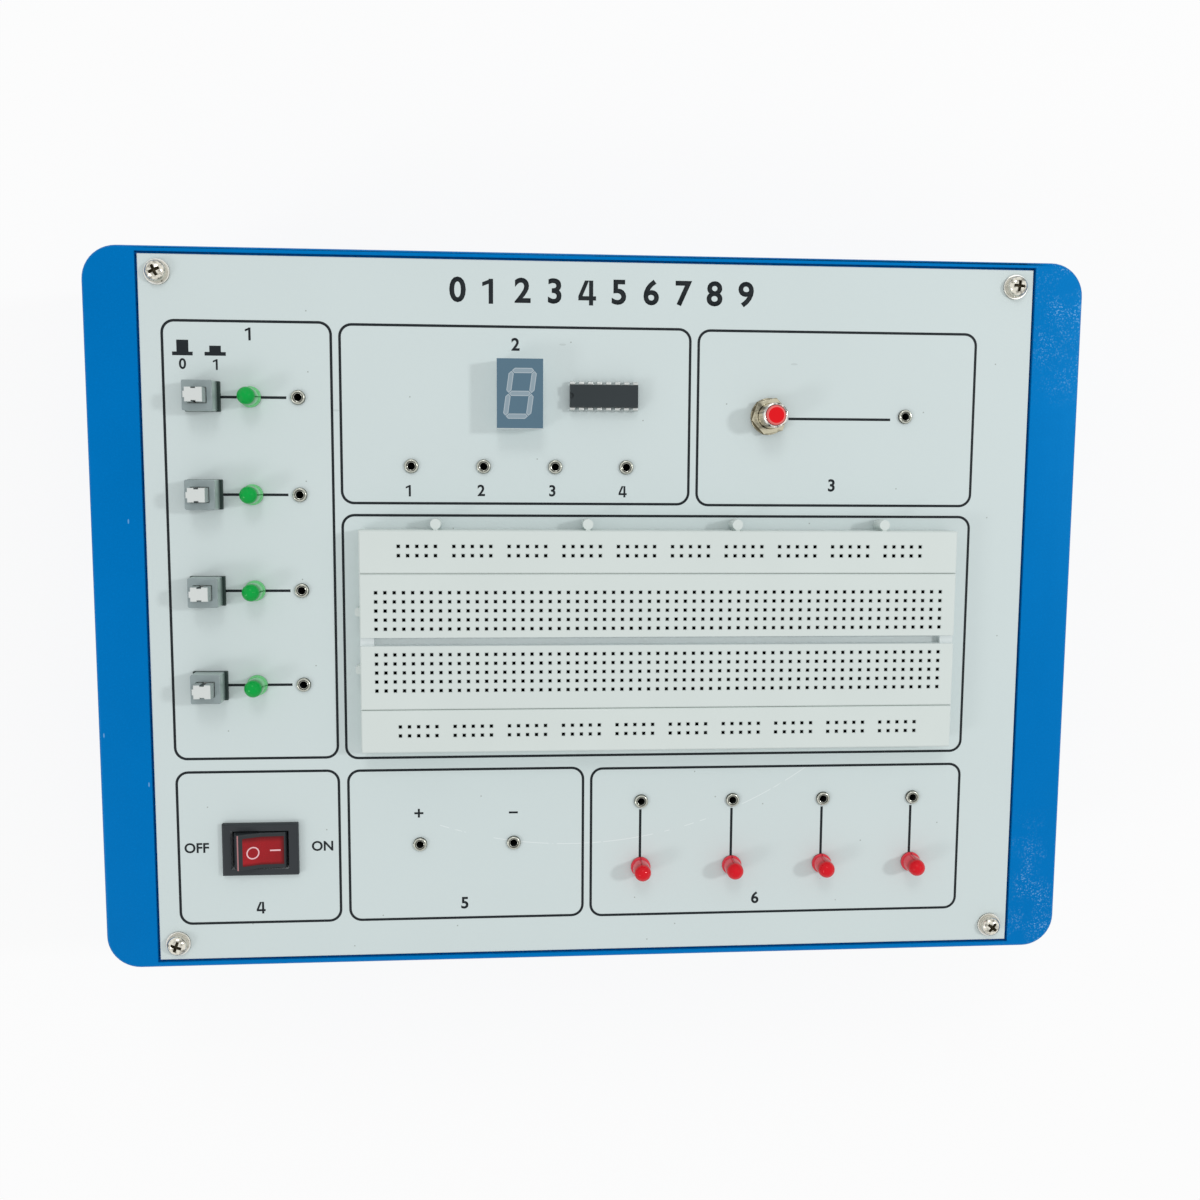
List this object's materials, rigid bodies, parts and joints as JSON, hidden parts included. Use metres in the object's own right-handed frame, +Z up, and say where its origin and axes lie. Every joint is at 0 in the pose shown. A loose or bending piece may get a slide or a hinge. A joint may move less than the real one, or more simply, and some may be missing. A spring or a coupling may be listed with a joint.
{
  "type": "digital logic trainer",
  "caption": "Benchtop logic trainer: blue moulded case with a pale panel carrying a solderless breadboard, push switches, indicator lamps, sockets, a digit display and a power rocker.",
  "frame": {"origin": "on the bench, under the middle of the panel", "axes": "+X to the right along the panel with the breadboard's rows, +Y up the panel towards the rear wall, +Z up out of the panel"},
  "size_m": [0.2806, 0.2058, 0.0828],
  "materials": {
    "case_blue": "fine leather grain with a soft sheen",
    "foot_rubber": "matt",
    "gland_black": "satin",
    "panel_face": "smooth satin lacquer with dark printed lines",
    "screw_steel": "zinc plated",
    "backing_foam": "closed-cell foam",
    "breadboard_white": "satin",
    "switch_dark": "satin",
    "switch_smoke": "translucent grey",
    "plunger_white": "smooth",
    "spring_steel": "bright",
    "tinned_wire": "tinned",
    "lamp_green": "tinted, diffused",
    "lamp_red": "tinted, diffused",
    "socket_nickel": "nickel plated, turned",
    "display_grey": "satin",
    "display_front": "satin blue-grey",
    "display_segment": "milky",
    "chip_black": "fine moulded grain",
    "bushing_chrome": "bright plated",
    "button_red": "polished",
    "rocker_black": "fine satin",
    "rocker_red": "translucent red",
    "core_steel": "varnished laminations",
    "coil_tape": "wound tape",
    "board_green": "lacquered laminate",
    "capacitor_sleeve": "shrunk sleeve",
    "sink_aluminium": "black anodised",
    "resistor_beige": "lacquered",
    "fuse_glass": "clear tube",
    "terminal_green": "satin"
  },
  "bodies": {
    "trainer": {"case_body": "case_blue", "case_rear_wall": "case_blue", "rubber_feet": "foot_rubber", "cord_gland": "gland_black", "panel_board": "panel_face", "panel_screws": "screw_steel", "breadboard_backing": "backing_foam", "terminal_strip": "breadboard_white", "upper_bus_strip": "breadboard_white", "lower_bus_strip": "breadboard_white", "switch_bases": "switch_dark", "switch_shells": "switch_smoke", "component_leads": "tinned_wire", "green_lamps": "lamp_green", "red_lamps": "lamp_red", "jack_sockets": "socket_nickel", "display_body": "display_grey", "display_face": "display_front", "display_segments": "display_segment", "decoder_chip": "chip_black", "decoder_pins": "tinned_wire", "clock_bushing": "bushing_chrome", "clock_nut": "bushing_chrome", "clock_washer": "bushing_chrome", "clock_spring": "spring_steel", "clock_switch_housing": "switch_dark", "clock_terminals": "tinned_wire", "power_bezel": "rocker_black", "power_terminals": "tinned_wire", "transformer_core": "core_steel", "transformer_coil": "coil_tape", "supply_board": "board_green", "filter_capacitor": "capacitor_sleeve", "bridge_rectifier": "chip_black", "voltage_regulator": "chip_black", "heat_sink": "sink_aluminium", "timer_chip": "chip_black", "resistors": "resistor_beige", "fuse_holder": "chip_black", "fuse_link": "fuse_glass", "terminal_block": "terminal_green", "switch_spring_1": "spring_steel", "switch_spring_2": "spring_steel", "switch_spring_3": "spring_steel", "switch_spring_4": "spring_steel"},
    "plunger_1": {"switch_plunger_1": "plunger_white"},
    "plunger_2": {"switch_plunger_2": "plunger_white"},
    "plunger_3": {"switch_plunger_3": "plunger_white"},
    "plunger_4": {"switch_plunger_4": "plunger_white"},
    "clock_push": {"clock_button": "button_red"},
    "power_lever": {"power_rocker": "rocker_black", "rocker_lens": "rocker_red"}
  },
  "joints": [
    {"name": "input_switch_1", "type": "slide", "parent": "trainer", "child": "plunger_1", "axis": [0, 0, -1], "range_m": [0, 0.0025], "stiffness_N_per_m": 300, "springref_m": -0.002, "deforming": ["switch_spring_1"]},
    {"name": "input_switch_2", "type": "slide", "parent": "trainer", "child": "plunger_2", "axis": [0, 0, -1], "range_m": [0, 0.0025], "stiffness_N_per_m": 300, "springref_m": -0.002, "deforming": ["switch_spring_2"]},
    {"name": "input_switch_3", "type": "slide", "parent": "trainer", "child": "plunger_3", "axis": [0, 0, -1], "range_m": [0, 0.0025], "stiffness_N_per_m": 300, "springref_m": -0.002, "deforming": ["switch_spring_3"]},
    {"name": "input_switch_4", "type": "slide", "parent": "trainer", "child": "plunger_4", "axis": [0, 0, -1], "range_m": [0, 0.0025], "stiffness_N_per_m": 300, "springref_m": -0.002, "deforming": ["switch_spring_4"]},
    {"name": "clock_push_button", "type": "slide", "parent": "trainer", "child": "clock_push", "axis": [0, 0, -1], "range_m": [0, 0.002], "stiffness_N_per_m": 300, "springref_m": -0.002, "deforming": ["clock_spring"]},
    {"name": "power_rocker_switch", "type": "hinge", "parent": "trainer", "child": "power_lever", "pos_m": [-0.0961, -0.06685, 0.0717], "axis": [0, 1, 0], "range_deg": [-24, 0]}
  ]
}
